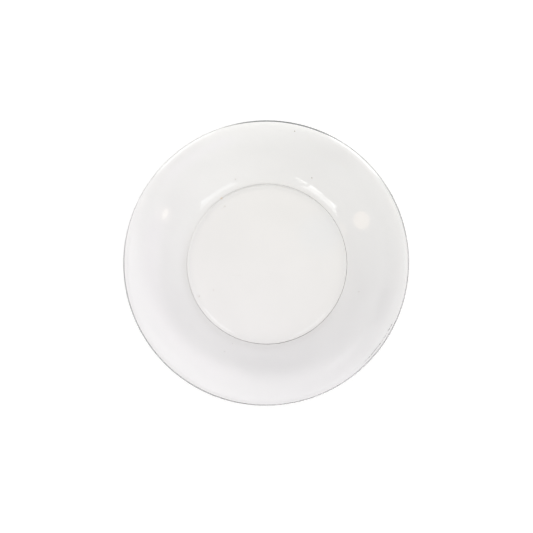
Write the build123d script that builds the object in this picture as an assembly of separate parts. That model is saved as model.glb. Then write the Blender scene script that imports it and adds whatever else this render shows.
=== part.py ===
from build123d import *
from math import acos, asin, atan2, cos, degrees, hypot, radians, sin, sqrt, tan
import os

# A flat-bottomed watch glass: one piece of clear laboratory glass, in millimetres.
# It is a solid of revolution about +Z that stands on the plane z = 0, with its origin in the
# middle of the foot. Its half section is a chain of arcs, each a tangent to the next: from the
# axis outwards a flat well floor, a knuckle, a bowl that is a zone of a sphere, a lip that
# turns back outwards and a cut edge, then back underneath to a low foot ring and a hollow.

# The outline
rim_diameter = 150.0
foot_diameter = 84.3      # of the flat ring that touches the bench, over its outer edge
lip_angle = 14.0          # degrees, the slope that is left at the edge
cut_angle = 18.0          # degrees from upright, so the edge is cut nearly square to the lip

# The curves of the wall, along the middle of its thickness
bowl_radius = 155.0       # of the sphere, whose centre is on the axis
lip_radius = 12.0

# Glass thickness
base_thickness = 2.5      # in the well, over the hollow
wall_thickness = 1.9

# Corners
knuckle_radius = 18.0     # inside, between the well floor and the bowl
cut_bevel = 0.15          # off both corners of the cut edge

# The foot is a low rounded ring, because the base inside it is pressed hollow
foot_land = 0.4           # width of the flat that touches the bench
foot_height = 0.3         # from the bench to the wall's underside, if that ran on to the foot
bead_radius = 0.6         # of the ring, on both sides of the land
root_radius = 1.2         # outside, between the ring and the wall
recess_depth = 0.3
recess_radius = 12.0      # where the hollow levels out

half_wall = wall_thickness / 2  # from the middle of the wall to either face
foot_radius = foot_diameter / 2
inside_radius = bowl_radius - half_wall
outside_radius = bowl_radius + half_wall
well_height = recess_depth + base_thickness

# The bowl's centre is on the axis, so high that the underside passes over the foot as it should
bowl_height = foot_height + sqrt(outside_radius**2 - foot_radius**2)


def turned(x, y, radius, start, end):
    """An arc by its centre and the directions in degrees of its two ends."""
    return CenterArc((x, y), radius, start, end - start)


def edge():
    """The lip and the cut edge, from the end of the bowl's inside round to its underside.

    The lip's centre lies beyond the bowl, on the line along which the two arcs of each face meet.
    """
    slope = Vector(cos(radians(lip_angle)), sin(radians(lip_angle)))
    out = Vector(-slope.Y, slope.X)
    cut = Vector(sin(radians(cut_angle)), -cos(radians(cut_angle)))
    depth = half_wall - cut_bevel
    width = 2 * depth / cos(radians(cut_angle - lip_angle))
    lower_x = rim_diameter / 2 - cut_bevel * cos(radians(cut_angle))
    lip_x = lower_x - (cut * width).X - (out * (lip_radius + depth)).X
    bowl_turn = asin(lip_x / (bowl_radius + lip_radius))
    lip = Vector(lip_x, bowl_height - lip_x / tan(bowl_turn))
    upper = lip + out * (lip_radius + depth)
    lower = upper + cut * width
    upper_foot = upper + Vector(-cut.Y, cut.X) * cut_bevel
    lower_foot = lower + Vector(-cut.Y, cut.X) * cut_bevel
    under = lip + out * (lip_radius - half_wall)
    turn = 90 + degrees(bowl_turn)
    level = 90 + lip_angle
    return degrees(bowl_turn), [
        turned(lip.X, lip.Y, lip_radius + half_wall, turn, level),
        Line(upper + out * cut_bevel, upper_foot),
        Line(upper_foot, lower_foot),
        Line(lower_foot, lower - out * cut_bevel),
        Line(lower - out * cut_bevel, under),
        turned(lip.X, lip.Y, lip_radius - half_wall, level, turn),
    ]


def glass_section():
    """Half of the watch glass cut through its axis, with X outwards and Y up."""
    bowl_turn, edge_lines = edge()

    # the knuckle touches the well floor and the bowl's inside
    knuckle_y = well_height + knuckle_radius
    knuckle_x = sqrt((inside_radius - knuckle_radius) ** 2 - (bowl_height - knuckle_y) ** 2)
    knuckle_turn = degrees(asin(knuckle_x / (inside_radius - knuckle_radius)))

    # the root touches the bead and the bowl's underside from outside both
    reach = bead_radius + root_radius
    span = hypot(foot_radius, bowl_height - bead_radius)
    sweep = (span**2 + reach**2 - (outside_radius + root_radius) ** 2) / (2 * span * reach)
    bead_turn = degrees(atan2(bowl_height - bead_radius, -foot_radius) - acos(sweep))
    root_x = foot_radius + reach * cos(radians(bead_turn))
    root_y = bead_radius + reach * sin(radians(bead_turn))
    foot_turn = degrees(asin(root_x / (outside_radius + root_radius)))

    # the step from the ring up into the hollow is two arcs with one tangent
    step_turn = degrees(acos(1 - recess_depth / (recess_radius + bead_radius)))
    land_x = foot_radius - foot_land
    hollow_x = land_x - (recess_radius + bead_radius) * sin(radians(step_turn))

    outline = [
        Line((0, well_height), (knuckle_x, well_height)),
        turned(knuckle_x, knuckle_y, knuckle_radius, -90, knuckle_turn - 90),
        turned(0, bowl_height, inside_radius, knuckle_turn - 90, bowl_turn - 90),
        *edge_lines,
        turned(0, bowl_height, outside_radius, bowl_turn - 90, foot_turn - 90),
        turned(root_x, root_y, root_radius, foot_turn + 90, bead_turn + 180),
        turned(foot_radius, bead_radius, bead_radius, bead_turn, -90),
        Line((foot_radius, 0), (land_x, 0)),
        turned(land_x, bead_radius, bead_radius, -90, -90 - step_turn),
        turned(hollow_x, recess_depth - recess_radius, recess_radius, 90 - step_turn, 90),
        Line((hollow_x, recess_depth), (0, recess_depth)),
        Line((0, recess_depth), (0, well_height)),
    ]
    return make_face(Wire.combine(outline, 1e-6)[0].edges())


glass = revolve(Plane.XZ * glass_section(), Axis.Z)
glass.label = "watch_glass"
os.makedirs("parts", exist_ok=True)
export_step(glass, "parts/watch_glass.step")

size = glass.bounding_box().size
print(f"watch glass {size.X:.2f} x {size.Y:.2f} x {size.Z:.2f} mm, {glass.volume / 1000:.2f} ml of glass")
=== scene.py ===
import math
import bpy
from mathutils import Matrix, Quaternion, Vector


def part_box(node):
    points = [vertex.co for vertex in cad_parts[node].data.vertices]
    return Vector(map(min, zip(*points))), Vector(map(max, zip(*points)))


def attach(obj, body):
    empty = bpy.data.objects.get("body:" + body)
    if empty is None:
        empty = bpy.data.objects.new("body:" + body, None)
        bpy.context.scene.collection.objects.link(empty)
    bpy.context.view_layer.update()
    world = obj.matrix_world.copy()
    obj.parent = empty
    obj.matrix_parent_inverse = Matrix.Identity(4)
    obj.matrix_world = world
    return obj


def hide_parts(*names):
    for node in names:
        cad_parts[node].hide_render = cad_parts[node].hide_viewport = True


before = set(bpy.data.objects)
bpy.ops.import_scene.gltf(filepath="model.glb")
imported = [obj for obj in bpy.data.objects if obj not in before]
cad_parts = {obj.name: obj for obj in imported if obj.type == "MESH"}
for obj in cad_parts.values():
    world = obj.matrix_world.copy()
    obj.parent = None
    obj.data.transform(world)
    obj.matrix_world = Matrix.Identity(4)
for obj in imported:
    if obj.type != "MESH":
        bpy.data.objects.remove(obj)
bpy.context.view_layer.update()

mm = 0.001


class Wire:  # a socket that can be used in a Python expression
    def __init__(self, board, socket):
        self.board = board
        self.socket = socket

    def __add__(self, other):
        return self.board.math("ADD", self, other)

    def __radd__(self, other):
        return self.board.math("ADD", other, self)

    def __sub__(self, other):
        return self.board.math("SUBTRACT", self, other)

    def __rsub__(self, other):
        return self.board.math("SUBTRACT", other, self)

    def __mul__(self, other):
        return self.board.math("MULTIPLY", self, other)

    def __rmul__(self, other):
        return self.board.math("MULTIPLY", other, self)

    def __truediv__(self, other):
        return self.board.math("DIVIDE", self, other)

    def __rtruediv__(self, other):
        return self.board.math("DIVIDE", other, self)

    def __pow__(self, other):
        return self.board.math("POWER", self, other)

    def __rpow__(self, other):
        return self.board.math("POWER", other, self)

    def __neg__(self):
        return self.board.math("MULTIPLY", self, -1.0)


class Board:  # a node tree to build on
    def __init__(self, tree):
        self.tree = tree

    def add(self, kind, settings=None, inputs=None, output=0):
        node = self.tree.nodes.new(kind)
        for name, value in (settings or {}).items():
            setattr(node, name, value)
        for key, value in (inputs or {}).items():
            self.plug(value, node.inputs[key])
        return Wire(self, node.outputs[output]) if len(node.outputs) else node

    def plug(self, value, socket):
        if isinstance(value, Wire):
            self.tree.links.new(value.socket, socket)
        elif isinstance(value, list):           # several geometries into one socket
            for wire in value:
                self.tree.links.new(wire.socket, socket)
        else:
            socket.default_value = value

    def math(self, operation, first, second=None):
        inputs = {0: first} if second is None else {0: first, 1: second}
        return self.add("ShaderNodeMath", {"operation": operation}, inputs)

    def larger(self, first, second):
        return self.math("MAXIMUM", first, second)

    def split(self, vector):
        return [self.add("ShaderNodeSeparateXYZ", None, {0: vector}, axis) for axis in range(3)]

    def point(self, x, y, z=0.0):
        return self.add("ShaderNodeCombineXYZ", None, {0: x, 1: y, 2: z})

    def rayIs(self, kind):                      # 1 for light paths of that kind, else 0
        return self.add("ShaderNodeLightPath", None, None, "Is " + kind + " Ray")


glassSizes = {                      # millimetres and degrees
    "Lip Angle": 14.0,
    "Cut Angle": 18.0,              # how far the cut edge leans back, so that it shows from above
    "Bowl Radius": 155.0,           # of the sphere that the wall is a zone of
    "Lip Radius": 12.0,
    "Corner Radius": 0.15,          # both corners of the cut edge, melted a little round
    "Base Thickness": 2.5,          # over the hollow
    "Wall Thickness": 1.9,
    "Knuckle Radius": 18.0,
    "Foot Radius": 42.15,           # of the flat land that touches the bench, at its outer edge
    "Foot Land": 0.4,
    "Foot Height": 0.3,             # up to the wall's underside, if that ran on to the foot
    "Bead Radius": 0.6,             # of the foot's rounded ring, on both sides of the land
    "Root Radius": 1.2,             # outside, between the ring and the wall
    "Recess Depth": 0.3,
    "Recess Radius": 12.0,
    "Weld Distance": 0.002,         # joins the stretches where they meet
}

glassSteps = {                      # rings of faces along each stretch of the section
    "Around": 288,
    "flat": 10,
    "knuckle": 16,
    "bowl": 48,
    "lip": 14,
    "cut": 4,
    "corner": 6,
    "root": 8,
    "bead": 8,
    "recess": 12,
}


def arc(board, centreX, centreZ, radius, start, sweep, steps):
    # angles count from +X towards +Z; the sweep turns the section's Y over, so Z goes in negative
    curve = board.add("GeometryNodeCurveArc", {"mode": "RADIUS"}, {
        "Resolution": steps + 1, "Radius": radius, "Start Angle": -start, "Sweep Angle": -sweep})
    place = board.point(centreX, -centreZ)
    return board.add("GeometryNodeTransform", None, {"Geometry": curve, "Translation": place})


def line(board, fromX, fromZ, toX, toZ, steps):
    curve = board.add("GeometryNodeCurvePrimitiveLine", None, {
        "Start": board.point(fromX, -fromZ), "End": board.point(toX, -toZ)})
    return board.add("GeometryNodeResampleCurve", None, {"Curve": curve, "Count": steps + 1})


def buildLatheTree(material):
    tree = bpy.data.node_groups.new("lathe watch glass", "GeometryNodeTree")
    tree.interface.new_socket("Geometry", in_out="INPUT", socket_type="NodeSocketGeometry")
    tree.interface.new_socket("Geometry", in_out="OUTPUT", socket_type="NodeSocketGeometry")
    for name in ["Rim Radius"] + list(glassSizes):
        tree.interface.new_socket(name, in_out="INPUT", socket_type="NodeSocketFloat")
    tree.interface.new_socket("Around", in_out="INPUT", socket_type="NodeSocketInt")
    board = Board(tree)
    inputNode = board.add("NodeGroupInput").socket.node
    size = {socket.name: Wire(board, socket) for socket in inputNode.outputs if socket.name}
    quarter = math.pi / 2
    half = size["Wall Thickness"] / 2
    inner = size["Bowl Radius"] - half
    outer = size["Bowl Radius"] + half
    depth = size["Recess Depth"]
    recess = size["Recess Radius"]
    base = size["Base Thickness"] + depth
    knuckle = size["Knuckle Radius"]
    bead = size["Bead Radius"]
    root = size["Root Radius"]
    foot = size["Foot Radius"]

    # the bowl's centre is so high that the wall's underside passes over the foot as it should
    bowlZ = size["Foot Height"] + board.math("SQRT", outer * outer - foot * foot)
    knuckleRun = bowlZ - base - knuckle
    knuckleX = board.math("SQRT", (inner - knuckle) ** 2 - knuckleRun * knuckleRun)
    knuckleTurn = board.math("ARCSINE", knuckleX / (inner - knuckle))

    # the root's arc touches the wall's underside and the foot's outer bead
    beadToBowl = board.math("SQRT", foot * foot + (bowlZ - bead) * (bowlZ - bead))
    reach = bead + root
    rootCorner = beadToBowl * beadToBowl + reach * reach - (outer + root) * (outer + root)
    rootCorner = board.math("ARCCOSINE", rootCorner / (beadToBowl * reach * 2))
    rootAngle = quarter + board.math("ARCTANGENT", foot / (bowlZ - bead)) - rootCorner
    rootX = foot + reach * board.math("COSINE", rootAngle)
    rootZ = bead + reach * board.math("SINE", rootAngle)
    footTurn = board.math("ARCSINE", rootX / (outer + root))

    # the cut edge lies between its two rounded corners, and the lip's arc leads up to it
    lip = size["Lip Radius"]
    lipAngle = size["Lip Angle"]
    cutAngle = size["Cut Angle"]
    corner = size["Corner Radius"]
    aside, along = board.math("SINE", lipAngle), board.math("COSINE", lipAngle)
    cutAside, cutAlong = board.math("SINE", cutAngle), board.math("COSINE", cutAngle)
    cut = (half - corner) * 2 / board.math("COSINE", cutAngle - lipAngle)
    edgeX = size["Rim Radius"] - corner - cut * cutAside + aside * (half - corner)
    lipX = edgeX + lip * aside
    wallAngle = board.math("ARCSINE", lipX / (size["Bowl Radius"] + lip))
    lipZ = bowlZ - lipX / board.math("TANGENT", wallAngle)
    edgeZ = lipZ + lip * along
    upperX, upperZ = edgeX - aside * (half - corner), edgeZ + along * (half - corner)
    lowerX, lowerZ = upperX + cut * cutAside, upperZ - cut * cutAlong

    # the recess rises inside the foot's land
    recessTurn = board.math("ARCCOSINE", 1 - depth / (recess + bead))
    land = foot - size["Foot Land"]
    hollowX = land - (recess + bead) * board.math("SINE", recessTurn)

    # the section runs from the axis over the inside, round the edge and back along the underside
    steps = glassSteps
    cornerTurn = cutAngle - lipAngle - quarter
    section = [
        line(board, 0.0, base, knuckleX, base, steps["flat"]),
        arc(board, knuckleX, base + knuckle, knuckle, -quarter, knuckleTurn, steps["knuckle"]),
        arc(board, 0.0, bowlZ, inner, knuckleTurn - quarter, wallAngle - knuckleTurn,
            steps["bowl"]),
        arc(board, lipX, lipZ, lip + half, wallAngle + quarter, lipAngle - wallAngle,
            steps["lip"]),
        arc(board, upperX, upperZ, corner, lipAngle + quarter, cornerTurn, steps["corner"]),
        line(board, upperX + cutAlong * corner, upperZ + cutAside * corner,
             lowerX + cutAlong * corner, lowerZ + cutAside * corner, steps["cut"]),
        arc(board, lowerX, lowerZ, corner, cutAngle, lipAngle - cutAngle - quarter,
            steps["corner"]),
        line(board, lowerX + aside * corner, lowerZ - along * corner,
             edgeX + aside * half, edgeZ - along * half, 1),
        arc(board, lipX, lipZ, lip - half, lipAngle + quarter, wallAngle - lipAngle,
            steps["lip"]),
        arc(board, 0.0, bowlZ, outer, wallAngle - quarter, footTurn - wallAngle, steps["bowl"]),
        arc(board, rootX, rootZ, root, quarter + footTurn, rootAngle + quarter - footTurn,
            steps["root"]),
        arc(board, foot, bead, bead, rootAngle, -quarter - rootAngle, steps["bead"]),
        line(board, foot, 0.0, land, 0.0, 1),
        arc(board, land, bead, bead, -quarter, -recessTurn, steps["bead"]),
        arc(board, hollowX, depth - recess, recess, quarter - recessTurn, recessTurn,
            steps["recess"]),
        line(board, hollowX, depth, 0.0, depth, steps["flat"]),
    ]
    joined = board.add("GeometryNodeJoinGeometry", None, {"Geometry": section})
    spindle = size["Rim Radius"] / 2
    shifted = board.add("GeometryNodeTransform", None, {
        "Geometry": joined, "Translation": board.point(-spindle, 0.0)})
    circle = board.add("GeometryNodeCurvePrimitiveCircle", {"mode": "RADIUS"}, {
        "Resolution": size["Around"], "Radius": spindle})
    turned = board.add("GeometryNodeCurveToMesh", None, {
        "Curve": circle, "Profile Curve": shifted})
    closed = board.add("GeometryNodeMergeByDistance", None, {
        "Geometry": turned, "Distance": size["Weld Distance"]})
    smooth = board.add("GeometryNodeSetShadeSmooth", None, {"Geometry": closed})
    real = board.add("GeometryNodeRealizeInstances", None, {"Geometry": smooth})
    finished = board.add("GeometryNodeSetMaterial", None, {
        "Geometry": real, "Material": material})
    board.add("NodeGroupOutput", None, {0: finished})
    return tree


def turnGlass(material):
    low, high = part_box("watch_glass")
    holder = bpy.data.objects.new("lathe", bpy.data.meshes.new("lathe"))
    bpy.context.scene.collection.objects.link(holder)
    modifier = holder.modifiers.new("lathe", "NODES")
    modifier.node_group = buildLatheTree(material)
    values = {name: size * mm for name, size in glassSizes.items()}
    for name in ("Lip Angle", "Cut Angle"):
        values[name] = math.radians(glassSizes[name])
    values["Rim Radius"] = high[0]
    values["Around"] = glassSteps["Around"]
    for socket in modifier.node_group.interface.items_tree:
        if socket.in_out == "INPUT" and socket.name in values:
            modifier[socket.identifier] = values[socket.name]
    evaluated = holder.evaluated_get(bpy.context.evaluated_depsgraph_get())
    mesh = bpy.data.meshes.new_from_object(evaluated)
    holder.modifiers.remove(modifier)
    bpy.data.objects.remove(holder)
    mesh.name = "clear_glass_dish"
    piece = bpy.data.objects.new("clear_glass_dish", mesh)
    bpy.context.scene.collection.objects.link(piece)
    return piece


def newMaterial(name):
    material = bpy.data.materials.new(name)
    material.use_nodes = True
    material.node_tree.nodes.clear()
    return material, Board(material.node_tree)


def rise(board, value, low, high):              # from 0 at low to 1 at high, eased at both ends
    return board.add("ShaderNodeMapRange", {"interpolation_type": "SMOOTHSTEP"},
                     {0: value, 1: low, 2: high})


def blend(board, factor, first, second):
    return board.add("ShaderNodeMix", {"data_type": "RGBA"}, {0: factor, 6: first, 7: second}, 2)


def cloud(board, place, scale, detail=2.0):     # 0.5 on average
    return board.add("ShaderNodeTexNoise", None,
                     {"Vector": place, "Scale": scale, "Detail": detail})


def towards(x, y, reach, azimuth):              # 1 at that reach in that direction, -1 opposite
    angle = math.radians(azimuth)
    return (x * math.cos(angle) + y * math.sin(angle)) / reach


class Spot:  # the shaded point of the dish
    def __init__(self, board):
        self.board = board
        self.place = board.add("ShaderNodeTexCoord", None, None, "Object")
        self.x, self.y, self.z = board.split(self.place)
        self.radius = board.larger(board.math("SQRT", self.x * self.x + self.y * self.y), mm)
        upward = board.split(board.add("ShaderNodeNewGeometry", None, None, "True Normal"))[2]
        behind = board.add("ShaderNodeNewGeometry", None, None, "Backfacing")
        self.facing = upward * (1 - 2 * behind)     # 1 on a level upper face, -1 on an under face

    def out(self, start, full):                 # from 0 to 1 between two radii
        return rise(self.board, self.radius, start * mm, full * mm)

    def ring(self, start, full, last, end):     # 1 between the middle two radii
        return self.out(start, full) * (1 - self.out(last, end))

    def near(self, radius, inner, outer):       # 1 within inner of that radius, 0 beyond outer
        away = self.board.math("ABSOLUTE", self.radius - radius * mm)
        return 1 - rise(self.board, away, inner * mm, outer * mm)

    def side(self, azimuth, low=None, high=None):   # the cosine, or from 0 to 1 between two
        toward = towards(self.x, self.y, self.radius, azimuth)
        return toward if low is None else rise(self.board, toward, low, high)


glassFinish = {                                 # lengths in millimetres, directions in degrees
    "ior": 1.474,
    "onWall": (39.0, 56.0),                     # radii between which the wall's own look sets in
    "upperFace": (0.1, 0.3),                    # Z of the normal, from a side to an upper face
    "underFace": (-0.1, 0.1),                   # and from an under face to a side

    "violetTint": (0.975, 0.964, 0.976, 1.0),   # the tint turns from violet to straw
    "strawTint": (0.975, 0.971, 0.953, 1.0),
    "strawAzimuth": 66.0,                       # towards there
    "strawShare": 0.55,                         # in the middle
    "strawReach": 95.0,
    "strawLoss": 0.12,                          # on the wall
    # random darker rings and patches of painted shade multiply the tint by this
    "ringsAndShadeTint": (0.958, 0.957, 0.958, 1.0),
    "ringShare": (0.3, 0.45),                  # in the well, and how much more on the wall
    "ringRange": (0.4, 0.62),
    "bandScale": 75.0,                          # the darker rings run round the wall
    "bandTurn": 1.3,
    # patches of painted light are clearer and take this tint
    "paintedLightTint": (1.0, 0.982, 1.0, 1.0),
    "paintedLightLoss": 0.7,                           # share of the darkening that a patch of painted light takes away
    "coolTint": (0.95, 0.956, 0.957, 1.0),
    "coolPlace": (28.0, 15.5, 13.0),            # x, y and radius
    "patchCore": 0.15,                          # share of a patch's half width at full strength
    "patchMiddle": 0.46,                        # and of its spread
    # patches of painted shade (strength above zero) and of painted light (below it)
    "lightAndShadePatches": {                                # azimuth, spread, radius, half width, strength
        "rightBand": (15.0, 69.5, 66.5, 7.0, 0.8),
        "rightRim": (36.0, 32.0, 72.5, 4.5, 0.8),
        "leftRim": (141.0, 30.0, 71.5, 5.0, 0.8),
        "lowerRightRim": (-55.0, 22.0, 69.5, 5.0, 0.7),
        "lowerLeftRim": (226.0, 20.0, 72.5, 3.5, 0.6),
        "crescent": (205.0, 62.0, 61.5, 7.0, -0.8),     # painted shade above zero, painted light below it
        "lavender": (122.0, 24.0, 68.0, 4.0, -0.5),
    },

    "edgeTint": (0.05, 0.06, 0.065, 1.0),       # painted shade on the cut edge and along the foot, also used for the dark dashes
    "edgeRadius": (74.25, 74.6),                # where it starts, and where it's full
    "edgeShare": 0.35,                          # all round
    "edgeWider": 0.06,                          # on the far side
    # the painted shade on the edge is darker towards these sides
    "farSide": (82.0, 0.88, 1.0, 0.9),          # azimuth, cosines from and to, how much darker
    "nearSide": (218.0, 0.4, 0.9, 0.55),
    "rightSide": (22.0, 0.97, 1.0, 0.4),
    # painted shade: a dark line along the foot, darker on one side
    "footLine": (41.4, 41.9, 42.5, 43.1),       # radii where it starts, is full, fades and ends
    "footLineSide": (92.0, 0.5, 0.95),          # azimuth, cosines from and to
    "footLineShare": 0.16,
    "dashRow": (73.5, 0.08, 0.24),             # radius and half width of a row of small dark dashes
    "dashRowSide": (-35.0, 0.98, 0.99),
    "dashRowScale": 800.0,
    "dashRowRange": (0.46, 0.58),
    "dashRowShare": 0.7,

    "dustTint": (0.42, 0.40, 0.38, 1.0),
    "dustEdge": (0.45, 1.15),                   # share of a speck's radius
    "dustRagged": (2600.0, 0.5),                # scale, and how far the outline strays
    "dust": {                                   # x, y and radius
        "crumb": (-16.5, 44.9, 0.45),
        "grain": (-22.2, 30.6, 0.55),
        "grainTail": (-23.4, 29.5, 0.28),
        "footGrain": (-35.7, -17.2, 0.5),
        "footGrainTail": (-36.4, -16.4, 0.25),
        "chip": (-28.2, -14.0, 0.36),
        "rimGrain": (15.3, 69.1, 0.42),
        "windowGrain": (24.1, 45.3, 0.45),
        "dash": (-14.6, -6.4, 0.34),
        "dashNext": (-17.4, -6.3, 0.32),
        "lowGrain": (-18.0, -42.4, 0.34),
        "lowGrainNext": (-22.0, -46.6, 0.32),
        "edgeGrain": (-58.9, 45.1, 0.36),
        "sideGrain": (48.8, -15.2, 0.3),
        "paleGrain": (12.8, 29.4, 0.26),
    },
    "rustTint": (0.82, 0.50, 0.24, 1.0),
    "rust": (-24.0, 34.9, 0.6),
    "seedScale": 48.0,                          # tiny seeds, one in a cell
    "seedSize": (0.0035, 0.0091),               # of a cell
    "seedShare": 0.45,

    "waveScale": 38.0,                          # left in the sheet when it sagged into its mould
    "waveHeight": 0.020,
    "rippleScale": 210.0,
    "rippleHeight": 0.0012,
    "wornHeight": (0.04, 0.16),                 # the foot is ground dull where it stands
    "wornScale": 420.0,
    "wornRange": (0.35, 0.6),
    "wornShare": (0.55, 0.45),                  # at least, and where it's worn most
    "wornRoughness": 0.35,
    "smearScale": 26.0,                         # of wiping
    "smearRange": (0.5, 0.7),
    "smearRoughness": 0.02,
    "scratches": ((0.5, 0.0), (1.9, 3.0), (2.7, 8.0)),  # directions in radians, and offsets
    "scratchScale": (45.0, 1900.0),             # along and across them
    "scratchRange": (0.71, 0.76),
    "scratchEnd": (34.0, 43.0),
    "scratchRoughness": 0.22,

    "shade": (0.842, 0.839, 0.837, 1.0),        # what each face lets through to the paper
    "paintedShadowShade": (0.76, 0.757, 0.76, 1.0),     # the same, less still: painted shadow on the paper, stronger on one side of the wall
    "paintedShadowShare": 0.42,
    "paintedShadowFoot": (-25.0, 0.3),                  # azimuth, and how much more near the foot
    "paintedShadowRim": (25.0, 0.55),                   # and near the rim
    "paintedShadowTurn": (47.0, 63.0),                  # from the one to the other
    "paintedShadowCloud": (34.0, 0.5),                  # scale and depth
    "flankAndPaintedShade": (0.57, 0.56, 0.55, 1.0),      # what the steep flank of the foot lets through, also used for painted shadow beside and inside the foot
    "flankSlope": (-0.9, -0.6),                 # Z of its normal, from none to all of that
    "flankShare": (0.4, 0.6),                   # all round, and more along one line, which is painted shade
    "flankAzimuth": 78.0,
    "besideFoot": (42.0, 42.5, 43.0, 46.0),     # painted shadow beside the foot, on one side, where the knuckle bends the light aside
    "besideFootSide": (246.0, -0.2, 0.45),
    "besideFootShare": 0.58,
    # painted shadow inside the foot, on one side
    "insideFoot": (33.0, 41.0, 42.2, 42.7),
    "insideFootSide": (325.0, -0.4, 0.8),
    "insideFootShare": 0.17,
}


def glassColourAndPaintedLight(board, spot):
    finish = glassFinish
    onWall = spot.out(*finish["onWall"])
    straw = finish["strawShare"] - finish["strawLoss"] * onWall
    straw = straw + towards(spot.x, spot.y, finish["strawReach"] * mm, finish["strawAzimuth"])
    baseColour = blend(board, straw, finish["violetTint"], finish["strawTint"])

    # darker rings at random, and patches of painted shade (darker) and painted light (clearer)
    turn = finish["bandTurn"]
    bands = board.point(spot.radius * finish["bandScale"], spot.x / spot.radius * turn,
                        spot.y / spot.radius * turn)
    ringsAndPaintedShade = finish["ringShare"][0] + finish["ringShare"][1] * onWall
    ringsAndPaintedShade = ringsAndPaintedShade * rise(board, cloud(board, bands, 1.0, detail=3.0), *finish["ringRange"])
    paintedLight = 0.0
    for azimuth, spread, radius, reach, strength in finish["lightAndShadePatches"].values():
        patch = spot.near(radius, reach * finish["patchCore"], reach)
        patch = patch * spot.side(azimuth, math.cos(math.radians(spread)),
                                  math.cos(math.radians(spread * finish["patchMiddle"])))
        if strength > 0:
            ringsAndPaintedShade = ringsAndPaintedShade + strength * patch
        else:
            paintedLight = paintedLight - strength * patch
    ringsAndPaintedShade = ringsAndPaintedShade * (1 - finish["paintedLightLoss"] * paintedLight)
    baseColour = blend(board, paintedLight, baseColour, finish["paintedLightTint"])
    return board.add("ShaderNodeMix",
                     {"data_type": "RGBA", "blend_type": "MULTIPLY", "clamp_factor": False},
                     {0: ringsAndPaintedShade, 6: baseColour, 7: finish["ringsAndShadeTint"]}, 2)


def glassSpecks(board, spot, baseColour):
    finish = glassFinish
    scale, stray = finish["dustRagged"]
    jitter = board.add("ShaderNodeTexNoise", None, {"Vector": spot.place, "Scale": scale}, 1)
    jitter = board.add("ShaderNodeVectorMath", {"operation": "SCALE"}, {0: jitter, 3: stray * mm})
    ragged = board.add("ShaderNodeVectorMath", None, {0: spot.place, 1: jitter})
    middle = (stray / 2 * mm, stray / 2 * mm, 0)
    ragged = board.add("ShaderNodeVectorMath", {"operation": "SUBTRACT"}, {0: ragged, 1: middle})
    flat = board.add("ShaderNodeVectorMath", {"operation": "MULTIPLY"}, {0: ragged, 1: (1, 1, 0)})

    def disc(x, y, radius):
        reach = board.add("ShaderNodeVectorMath", {"operation": "DISTANCE"},
                          {0: flat, 1: (x * mm, y * mm, 0.0)}, 1)
        start, end = finish["dustEdge"]
        return 1 - rise(board, reach, radius * start * mm, radius * end * mm)

    upperFace = rise(board, spot.facing, *finish["upperFace"])
    # a faint blue-grey patch in the well
    baseColour = blend(board, disc(*finish["coolPlace"]), baseColour, finish["coolTint"])
    specks = 0.0
    for place in finish["dust"].values():
        specks = board.larger(specks, disc(*place))
    seeds = board.add("ShaderNodeTexVoronoi", {"voronoi_dimensions": "2D"},
                      {"Vector": spot.place, "Scale": finish["seedScale"]})
    seeds = 1 - rise(board, seeds, *finish["seedSize"])
    specks = board.larger(specks, seeds * finish["seedShare"])
    baseColour = blend(board, specks * upperFace, baseColour, finish["dustTint"])
    return blend(board, disc(*finish["rust"]) * upperFace, baseColour, finish["rustTint"])


def glassEdge(board, spot, baseColour):
    # painted shade on the cut edge, darker on some sides, and along the foot; also a row of dark
    # dashes
    finish = glassFinish
    edgeShade = finish["edgeShare"]
    sides = {}
    for name in ("farSide", "nearSide", "rightSide"):
        azimuth, low, high, share = finish[name]
        sides[name] = spot.side(azimuth, low, high)
        edgeShade = edgeShade + share * sides[name]
    start, full = finish["edgeRadius"]
    widened = spot.radius + finish["edgeWider"] * mm * sides["farSide"]
    edge = rise(board, widened, start * mm, full * mm) * edgeShade
    # painted shade along the foot, darker on one side
    footLine = spot.ring(*finish["footLine"]) * spot.side(*finish["footLineSide"])
    edge = board.larger(edge, footLine * finish["footLineShare"])
    dashes = rise(board, cloud(board, spot.place, finish["dashRowScale"]), *finish["dashRowRange"])
    dashes = dashes * spot.near(*finish["dashRow"]) * spot.side(*finish["dashRowSide"])
    edge = board.larger(edge, dashes * finish["dashRowShare"])
    return blend(board, edge, baseColour, finish["edgeTint"])


def glassWear(board, spot):
    finish = glassFinish
    start, end = finish["wornHeight"]
    least, more = finish["wornShare"]
    grit = cloud(board, spot.place, finish["wornScale"], detail=3.0)
    grit = rise(board, grit, *finish["wornRange"])
    worn = (1 - rise(board, spot.z, start * mm, end * mm)) * (least + more * grit)
    smear = cloud(board, spot.place, finish["smearScale"], detail=5.0)
    smear = rise(board, smear, *finish["smearRange"])
    scratches = 0.0
    for turn, offset in finish["scratches"]:
        along = spot.x * math.cos(turn) + spot.y * math.sin(turn)
        across = spot.y * math.cos(turn) - spot.x * math.sin(turn)
        alongScale, acrossScale = finish["scratchScale"]
        track = board.point(along * alongScale, across * acrossScale, offset)
        hair = rise(board, cloud(board, track, 1.0, detail=1.0), *finish["scratchRange"])
        scratches = board.larger(scratches, hair)
    scratches = scratches * (1 - spot.out(*finish["scratchEnd"])) * finish["scratchRoughness"]
    roughness = board.larger(smear * finish["smearRoughness"], scratches)
    return board.larger(roughness, worn * finish["wornRoughness"])


def glassBump(board, spot):
    finish = glassFinish
    wave = cloud(board, spot.place, finish["waveScale"])
    ripple = cloud(board, spot.place, finish["rippleScale"], detail=3.0)
    height = wave * (finish["waveHeight"] * mm) + ripple * (finish["rippleHeight"] * mm)
    return board.add("ShaderNodeBump", None,
                     {"Strength": 1.0, "Distance": 1.0, "Height": height})


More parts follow.
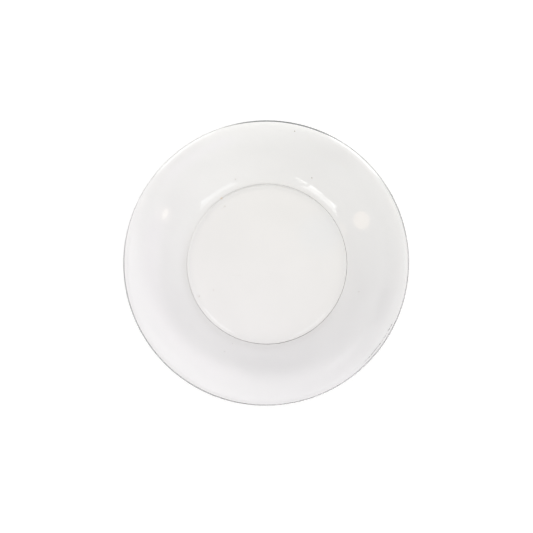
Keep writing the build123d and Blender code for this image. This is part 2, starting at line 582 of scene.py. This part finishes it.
def shadeForLamps(board, spot, surface):
    # lamp light goes straight through; each face passes a set share of it, and painted shadow
    # darkens it on one side of the wall and beside and inside the foot
    finish = glassFinish
    outer = spot.out(*finish["paintedShadowTurn"])
    footAzimuth, footShare = finish["paintedShadowFoot"]
    rimAzimuth, rimShare = finish["paintedShadowRim"]
    paintedShadow = finish["paintedShadowShare"] + footShare * spot.side(footAzimuth) * (1 - outer)
    paintedShadow = (paintedShadow + rimShare * spot.side(rimAzimuth) * outer) * spot.out(*finish["onWall"])
    scale, depth = finish["paintedShadowCloud"]
    paintedShadow = paintedShadow + depth * (cloud(board, spot.place, scale) - 0.5)
    paintedShadow = board.math("MINIMUM", board.larger(paintedShadow, 0.0), 1.0)

    # the steep flank's shade, painted stronger along one line, and painted shadow beside and inside
    # the foot
    least, more = finish["flankShare"]
    flankAndPaintedShadow = least + more * spot.side(finish["flankAzimuth"]) ** 2
    flankAndPaintedShadow = rise(board, spot.facing, *finish["flankSlope"]) * flankAndPaintedShadow
    for name in ("besideFoot", "insideFoot"):
        patch = spot.ring(*finish[name]) * spot.side(*finish[name + "Side"])
        flankAndPaintedShadow = board.larger(flankAndPaintedShadow, patch * finish[name + "Share"])
    flankAndPaintedShadow = flankAndPaintedShadow * (1 - rise(board, spot.facing, *finish["underFace"]))

    toLamp = board.larger(board.rayIs("Shadow"), board.rayIs("Diffuse"))
    for share, shade in ((1.0, "shade"), (paintedShadow, "paintedShadowShade"), (flankAndPaintedShadow, "flankAndPaintedShade")):
        through = board.add("ShaderNodeBsdfTransparent", None, {"Color": finish[shade]})
        surface = board.add("ShaderNodeMixShader", None,
                            {0: toLamp * share, 1: surface, 2: through})
    return surface


def makeClearGlass():
    material, board = newMaterial("clear glass")
    spot = Spot(board)
    baseColour = glassEdge(board, spot, glassSpecks(board, spot, glassColourAndPaintedLight(board, spot)))
    glass = board.add("ShaderNodeBsdfPrincipled", None, {
        "Base Color": baseColour, "Roughness": glassWear(board, spot), "IOR": glassFinish["ior"],
        "Transmission Weight": 1.0, "Normal": glassBump(board, spot)})
    surface = shadeForLamps(board, spot, glass)
    board.add("ShaderNodeOutputMaterial", None, {"Surface": surface})
    return material


floorFinish = {
    "paper": (0.9, 0.9, 0.9, 1.0),
    "halfWidth": 2.0,                           # metres
    "drop": 0.05,                               # below the foot, millimetres
    "lift": 0.29,                               # towards white, where glass shows the paper
    "openLift": 0.335,                          # and where it's seen directly
}


def makeFloorPaper():
    material, board = newMaterial("white paper")
    paper = board.add("ShaderNodeBsdfDiffuse", None, {"Color": floorFinish["paper"]})
    lift = board.rayIs("Camera") * floorFinish["openLift"]
    for kind in ("Transmission", "Glossy"):
        lift = board.larger(lift, board.rayIs(kind) * floorFinish["lift"])
    glow = board.add("ShaderNodeEmission", None, {"Color": (1, 1, 1, 1), "Strength": lift})
    both = board.add("ShaderNodeAddShader", None, {0: paper, 1: glow})
    board.add("ShaderNodeOutputMaterial", None, {"Surface": both})
    return material


def makeFloor():
    mesh = bpy.data.meshes.new("floor")
    reach = floorFinish["halfWidth"]
    z = -floorFinish["drop"] * mm
    corners = [(-reach, -reach, z), (reach, -reach, z), (reach, reach, z), (-reach, reach, z)]
    mesh.from_pydata(corners, [], [(0, 1, 2, 3)])
    floor = bpy.data.objects.new("floor", mesh)
    bpy.context.scene.collection.objects.link(floor)
    mesh.materials.append(makeFloorPaper())


def directionTo(azimuth, zenith):
    azimuth, zenith = math.radians(azimuth), math.radians(zenith)
    flat = math.sin(zenith)
    return Vector((flat * math.cos(azimuth), flat * math.sin(azimuth), math.cos(zenith)))


# brightness is 1 for white paper; angles are in degrees, down from the zenith or round from +X
studio = {
    "ceiling": 1.45,
    "ceilingZenith": (6.0, 22.0),
    "ceilingColour": (1.0, 0.95, 0.88, 1.0),
    "room": 0.80,
    "roomLean": 0.5,            # how much brighter the room is towards roomAzimuth
    "roomAzimuth": 290.0,
    "roomZenith": 58.0,         # where the room's light has faded out
    "window": 0.5,
    "windowLean": 0.6,
    "windowAzimuth": 45.0,
    "windowZenith": 43.0,       # edge of the window light where it is widest
    "windowDrop": 6.0,          # how much further down that edge lies at its sides
    "windowBlur": 3.5,
    "horizon": 1.6,
    "horizonLean": 1.0,
    "horizonAzimuth": 95.0,
    "horizonZenith": (60.0, 68.0),
    "duskZenith": (78.0, 86.0),
    "lampDistance": 2.0,        # metres
}


def makeWorld():
    world = bpy.data.worlds.new("studio")
    bpy.context.scene.world = world
    world.use_nodes = True
    world.node_tree.nodes.clear()
    board = Board(world.node_tree)
    x, y, z = board.split(board.add("ShaderNodeTexCoord"))
    zenith = board.math("ARCCOSINE", z) * math.degrees(1)
    across = board.math("SQRT", board.larger(1 - z * z, 0.0001))     # never quite zero
    toRoom, toWindow, toHorizon = (towards(x, y, across, studio[name + "Azimuth"])
                                   for name in ("room", "window", "horizon"))
    fade = zenith / studio["roomZenith"]
    room = (studio["room"] + studio["roomLean"] * toRoom) * board.larger(1 - fade * fade, 0.0)
    overhead = 1 - rise(board, zenith, *studio["ceilingZenith"])
    edge = studio["windowZenith"] + studio["windowDrop"] * (1 - toWindow)
    window = rise(board, zenith - edge, -studio["windowBlur"], studio["windowBlur"])
    window = window * board.larger(studio["window"] + studio["windowLean"] * toWindow, 0.0)
    low = rise(board, zenith, *studio["horizonZenith"])
    low = low * (studio["horizon"] + studio["horizonLean"] * toHorizon)
    dusk = 1 - rise(board, zenith, *studio["duskZenith"])
    around = (room * (1 - overhead) + window + low) * dusk
    seen = board.rayIs("Camera")
    ceiling = board.add("ShaderNodeBackground", None, {
        "Color": studio["ceilingColour"], "Strength": overhead * studio["ceiling"] * (1 - seen)})
    rest = board.add("ShaderNodeBackground", None, {
        "Color": (1, 1, 1, 1), "Strength": around * (1 - seen) + seen})
    both = board.add("ShaderNodeAddShader", None, {0: ceiling, 1: rest})
    board.add("ShaderNodeOutputWorld", None, {"Surface": both})


white = (1.0, 1.0, 1.0)
candle = (1.0, 0.93, 0.8)

lampRack = {                    # azimuth, zenith, twist, width, height, level, colour, shape
    "tallWindow": (219.0, 24.4, 10.0, 0.41, 0.44, 3.4, white, "RECTANGLE"),
    "highPane": (239.0, 29.6, 2.0, 0.15, 0.016, 2.6, white, "RECTANGLE"),
    "paleWindow": (306.5, 21.6, -3.0, 0.45, 0.36, 2.0, (0.95, 1.0, 1.0), "RECTANGLE"),
    "shadeLamp": (196.6, 38.1, 0.0, 0.21, 0.21, 1.25, (1.0, 0.78, 0.56), "DISK"),
    "farLamp": (338.0, 36.4, 5.0, 0.13, 0.07, 1.4, (1.0, 0.88, 0.74), "ELLIPSE"),
    "farGlow": (338.5, 36.8, 0.0, 0.22, 0.22, 0.35, (1.0, 0.85, 0.65), "DISK"),
    "lowPane": (133.0, 48.0, 0.0, 0.7, 0.06, 0.28, white, "RECTANGLE"),
    "sideStrip": (331.4, 46.8, 0.0, 0.27, 0.02, 1.4, candle, "RECTANGLE"),
    "warmStrip": (205.0, 51.0, 0.0, 0.34, 0.02, 1.4, candle, "RECTANGLE"),
    "skyPane": (311.7, 49.5, 0.0, 0.2, 0.06, 1.2, white, "RECTANGLE"),
    "skyStrip": (292.4, 51.5, 0.0, 0.36, 0.06, 1.0, white, "RECTANGLE"),
}


def makeLamps():
    for name, row in lampRack.items():
        azimuth, zenith, twist, width, height, level, colour, shape = row
        lamp = bpy.data.lights.new(name, "AREA")
        lamp.shape = shape
        lamp.size = width
        lamp.size_y = height
        lamp.color = colour
        face = width * height * (math.pi / 4 if shape in ("DISK", "ELLIPSE") else 1)
        lamp.energy = level * math.pi * face
        place = bpy.data.objects.new(name, lamp)
        away = directionTo(azimuth, zenith)
        turn = away.to_track_quat("Z", "Y") @ Quaternion((0, 0, 1), math.radians(twist))
        place.location = away * studio["lampDistance"]
        place.rotation_euler = turn.to_euler()
        place.visible_camera = False
        place.visible_diffuse = False           # catch lights only, the studio lights the paper
        bpy.context.scene.collection.objects.link(place)


cameraPlace = {
    "azimuth": -57.0,           # degrees
    "zenith": 4.7,
    "distance": 0.95,           # metres, from the middle of the rim
    "frameWidth": 0.2791,
    "shift": (0.0016886, -0.0081614),       # right and up, share of the frame's width
}


def makeCamera():
    low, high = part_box("watch_glass")
    target = Vector((0, 0, high[2] - glassSizes["Wall Thickness"] / 2 * mm))
    away = directionTo(cameraPlace["azimuth"], cameraPlace["zenith"])
    right = Vector((0, 1, 0)).cross(away).normalized()
    place = Matrix((right, away.cross(right), away)).transposed().to_4x4()
    place.translation = target + away * cameraPlace["distance"]
    camera = bpy.data.cameras.new("camera")
    camera.lens = camera.sensor_width * cameraPlace["distance"] / cameraPlace["frameWidth"]
    camera.shift_x, camera.shift_y = cameraPlace["shift"]
    seat = bpy.data.objects.new("camera", camera)
    seat.matrix_world = place
    bpy.context.scene.collection.objects.link(seat)
    bpy.context.scene.camera = seat


clearGlass = makeClearGlass()
dish = turnGlass(clearGlass)
print("glass turned:", len(dish.data.polygons), "faces")
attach(dish, "root")
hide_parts("watch_glass")

makeFloor()
makeWorld()
makeLamps()
makeCamera()
bpy.context.scene.view_settings.view_transform = "Standard"
bpy.context.scene.cycles.blur_glossy = 0.0  # clear glass stays clear for light that meets the floor
print("stage, world and camera set")
